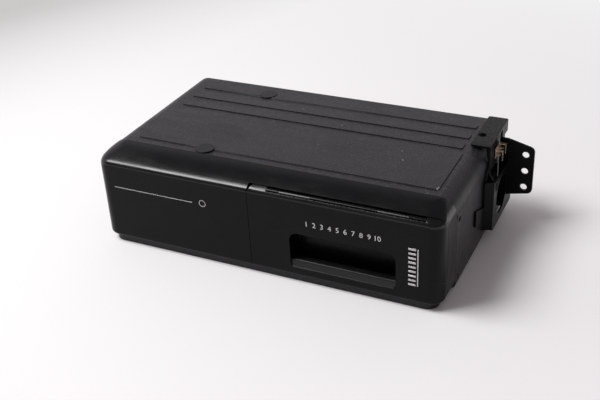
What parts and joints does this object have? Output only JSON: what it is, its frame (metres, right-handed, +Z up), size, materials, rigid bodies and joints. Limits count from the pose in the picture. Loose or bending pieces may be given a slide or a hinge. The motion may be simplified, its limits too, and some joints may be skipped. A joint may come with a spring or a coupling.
{
  "type": "car cd changer",
  "caption": "Car CD changer: black steel case with a moulded front, top-hinged door over a disc magazine, lift player inside and a side mounting bracket.",
  "frame": {"origin": "middle of the flat underside of the base tray", "axes": "+X to the right seen from the front, -Y towards the front and its door, +Z up"},
  "size_m": [0.343, 0.176, 0.0902],
  "materials": {
    "front_moulding": "satin black moulding with a very fine grain",
    "gloss_black": "polished black",
    "bright_steel": "ground steel",
    "black_paint": "matte charcoal-black baked paint, small chips at the edges",
    "cap_plastic": "matte black",
    "screw_steel": "blackened steel",
    "button_plastic": "satin dark grey",
    "zinc_sheet": "zinc-plated sheet",
    "magazine_plastic": "satin black moulding",
    "tray_plastic": "matte dark grey",
    "disc_silver": "mirror disc with a clear lacquer",
    "damper_rubber": "soft black rubber",
    "gear_plastic": "ivory acetal",
    "motor_steel": "plated motor can",
    "pickup_plastic": "filled black plastic",
    "board_green": "green solder resist",
    "chip_plastic": "black moulded packages",
    "spring_brass": "dull yellow spring brass",
    "bracket_paint": "semi-gloss black paint"
  },
  "bodies": {
    "case": {"front_panel": "front_moulding", "base_chassis": "black_paint", "top_cover": "black_paint", "transport_plugs": "cap_plastic", "rear_panel": "black_paint", "rear_sockets": "cap_plastic", "case_screws": "screw_steel", "magazine_cage": "zinc_sheet", "sub_chassis": "zinc_sheet", "dampers": "damper_rubber", "lift_guide_front": "zinc_sheet", "lift_guide_rear": "zinc_sheet", "lift_motor": "motor_steel", "main_board": "board_green", "board_parts": "chip_plastic", "side_bracket": "bracket_paint", "bracket_screws": "screw_steel", "spring_clips": "spring_brass"},
    "door": {"door": "front_moulding", "hinge_leaf": "gloss_black", "hinge_pin": "bright_steel"},
    "eject_button": {"eject_button": "button_plastic"},
    "magazine": {"magazine_case": "magazine_plastic", "tray_2": "tray_plastic", "tray_3": "tray_plastic", "tray_4": "tray_plastic", "tray_5": "tray_plastic", "tray_6": "tray_plastic", "tray_7": "tray_plastic", "tray_8": "tray_plastic", "tray_9": "tray_plastic", "tray_10": "tray_plastic"},
    "tray_slider": {"tray_1": "tray_plastic", "loaded_disc": "disc_silver"},
    "lift": {"lift_frame": "zinc_sheet"},
    "cam_slide": {"cam_slide": "zinc_sheet"},
    "lift_gear": {"lift_gear": "gear_plastic"},
    "clamp_arm": {"clamp_arm": "zinc_sheet"},
    "disc_clamp": {"disc_clamp": "gear_plastic"},
    "player_base": {"player_base": "zinc_sheet", "guide_rods": "bright_steel", "spindle_motor": "motor_steel"},
    "pickup": {"pickup": "pickup_plastic"},
    "turntable": {"turntable": "pickup_plastic"}
  },
  "joints": [
    {"name": "door_swing", "type": "hinge", "parent": "case", "child": "door", "pos_m": [0, -0.083, 0.0793], "axis": [-1, 0, 0], "range_deg": [0, 88]},
    {"name": "magazine_eject", "type": "slide", "parent": "case", "child": "magazine", "axis": [0, -1, 0], "range_m": [0, 0.03]},
    {"name": "eject_press", "type": "slide", "parent": "case", "child": "eject_button", "axis": [0, 1, 0], "range_m": [0, 0.003], "stiffness_N_per_m": 400, "springref_m": -0.001},
    {"name": "tray_out", "type": "slide", "parent": "magazine", "child": "tray_slider", "axis": [1, 0, 0], "range_m": [-0.139, 0]},
    {"name": "lift_travel", "type": "slide", "parent": "case", "child": "lift", "axis": [0, 0, 1], "range_m": [0, 0.0504]},
    {"name": "cam_shift", "type": "slide", "parent": "case", "child": "cam_slide", "axis": [1, 0, 0], "range_m": [0, 0.03025]},
    {"name": "lift_gear_turn", "type": "hinge", "parent": "case", "child": "lift_gear", "pos_m": [-0.088, -0.065, 0.071], "axis": [0, -1, 0], "range_deg": [0, 216.6]},
    {"name": "base_tilt", "type": "hinge", "parent": "lift", "child": "player_base", "pos_m": [-0.1295, 0, 0.01], "axis": [0, -1, 0], "range_deg": [0, 1.6]},
    {"name": "clamp_swing", "type": "hinge", "parent": "lift", "child": "clamp_arm", "pos_m": [-0.1335, 0, 0.0212], "axis": [0, 1, 0], "range_deg": [0, 1.6]},
    {"name": "clamp_spin", "type": "hinge", "parent": "clamp_arm", "child": "disc_clamp", "pos_m": [-0.061, 0, 0.02], "axis": [0, 0, 1], "continuous": true},
    {"name": "pickup_travel", "type": "slide", "parent": "player_base", "child": "pickup", "axis": [-1, 0, 0], "range_m": [0, 0.03]},
    {"name": "turntable_spin", "type": "hinge", "parent": "player_base", "child": "turntable", "pos_m": [-0.061, 0, 0.012], "axis": [0, 0, 1], "continuous": true}
  ],
  "couplings": [
    {"joint": "magazine_eject", "follows": "door_swing", "m_per_rad": 0.019533},
    {"joint": "cam_shift", "follows": "lift_travel", "ratio": 0.6},
    {"joint": "lift_gear_turn", "follows": "lift_travel", "rad_per_m": 75},
    {"joint": "clamp_swing", "follows": "base_tilt", "ratio": 1}
  ]
}
